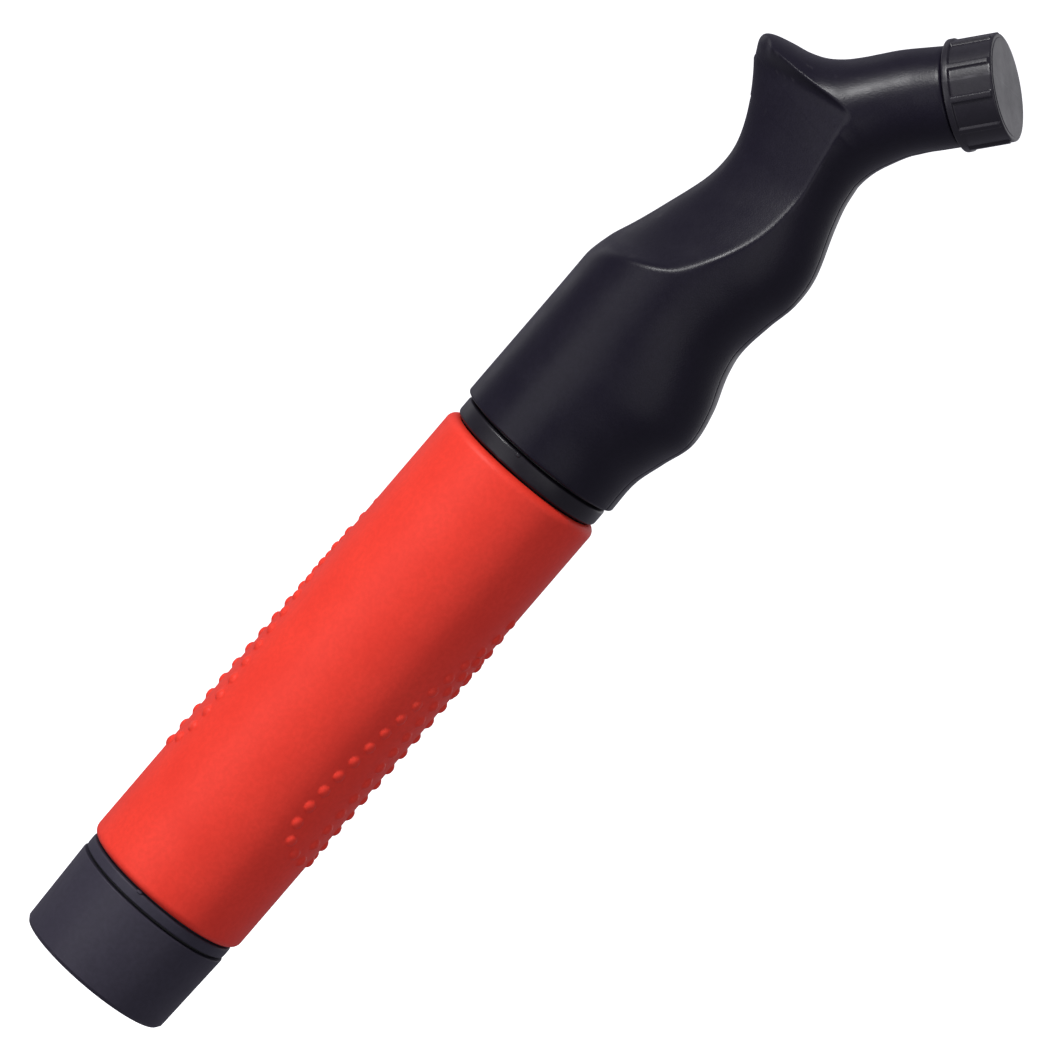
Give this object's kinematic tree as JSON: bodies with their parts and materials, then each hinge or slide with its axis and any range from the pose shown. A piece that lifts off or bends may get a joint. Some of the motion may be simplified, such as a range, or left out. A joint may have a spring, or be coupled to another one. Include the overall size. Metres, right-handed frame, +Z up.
{
  "type": "ball inflation hand pump",
  "caption": "Hand pump for inflating balls: black finger-grip head with a leaning capped spout, red rubber-gripped sliding handle and screw-on base cap.",
  "frame": {"origin": "centre of the flat base of the base cap", "axes": "+Z runs up the cylinder to the head, +X is the side the spout and the finger grooves face, +Y is the half of the head that takes the casing screws"},
  "size_m": [0.0401, 0.0276, 0.1942],
  "materials": {
    "head_plastic": "fine matte moulded texture",
    "ring_plastic": "satin",
    "cap_plastic": "satin",
    "grip_rubber": "soft satin",
    "seal_rubber": "matte",
    "cylinder_plastic": "smooth",
    "bearing_plastic": "natural acetal",
    "hose_rubber": "matte",
    "steel": "turned and plated",
    "brass": "turned"
  },
  "bodies": {
    "head": {"head_shell_left": "head_plastic", "head_shell_right": "head_plastic", "casing_screw_1": "steel", "casing_screw_2": "steel", "casing_screw_3": "steel", "casing_screw_4": "steel", "cylinder_tube": "cylinder_plastic", "cylinder_end_bush": "bearing_plastic", "valve_body": "cylinder_plastic", "valve_body_seal": "seal_rubber", "valve_spring": "steel", "outlet_nipple": "cylinder_plastic", "air_hose": "hose_rubber", "nozzle_body": "brass", "needle_gland": "seal_rubber"},
    "valve_disc": {"valve_disc": "seal_rubber"},
    "plunger": {"piston_rod": "steel", "piston_body": "bearing_plastic", "piston_cup_seal": "seal_rubber", "piston_washer": "steel", "piston_nut": "steel", "rod_bumper": "seal_rubber", "rod_shoulder_washer": "steel", "rod_end_washer": "steel", "rod_lock_nut": "steel"},
    "handle": {"handle_tube": "ring_plastic", "grip_sleeve": "grip_rubber", "top_ring": "ring_plastic", "guide_bush": "bearing_plastic", "end_plug": "cap_plastic"},
    "base_cap_gasket": {"base_cap_gasket": "seal_rubber"},
    "base_cap": {"base_cap": "cap_plastic"},
    "nozzle_cap_seal": {"nozzle_cap_seal": "seal_rubber"},
    "nozzle_cap": {"nozzle_cap": "cap_plastic"}
  },
  "joints": [
    {"name": "pump_stroke", "type": "slide", "parent": "head", "child": "plunger", "axis": [0, 0, -1], "range_m": [0, 0.061]},
    {"name": "handle_twist", "type": "hinge", "parent": "plunger", "child": "handle", "pos_m": [0, 0, 0.018], "axis": [0, 0, 1], "range_deg": [0, 30]},
    {"name": "base_cap_travel", "type": "slide", "parent": "handle", "child": "base_cap_gasket", "axis": [0, 0, -1], "range_m": [0, 0.008]},
    {"name": "base_cap_turn", "type": "hinge", "parent": "base_cap_gasket", "child": "base_cap", "pos_m": [0, 0, 0.007], "axis": [0, 0, -1], "range_deg": [0, 900]},
    {"name": "nozzle_cap_travel", "type": "slide", "parent": "head", "child": "nozzle_cap_seal", "axis": [0.6428, 0, 0.766], "range_m": [0, 0.0075]},
    {"name": "nozzle_cap_turn", "type": "hinge", "parent": "nozzle_cap_seal", "child": "nozzle_cap", "pos_m": [0.01298, 0, 0.18297], "axis": [0.6428, 0, 0.766], "range_deg": [0, 900]},
    {"name": "valve_lift", "type": "slide", "parent": "head", "child": "valve_disc", "axis": [0, 0, 1], "range_m": [0, 0.001], "stiffness_N_per_m": 150, "springref_m": -0.0005, "deforming": ["valve_spring"]}
  ],
  "couplings": [
    {"joint": "base_cap_turn", "follows": "base_cap_travel", "rad_per_m": 1963.5},
    {"joint": "nozzle_cap_turn", "follows": "nozzle_cap_travel", "rad_per_m": 2094.4}
  ]
}
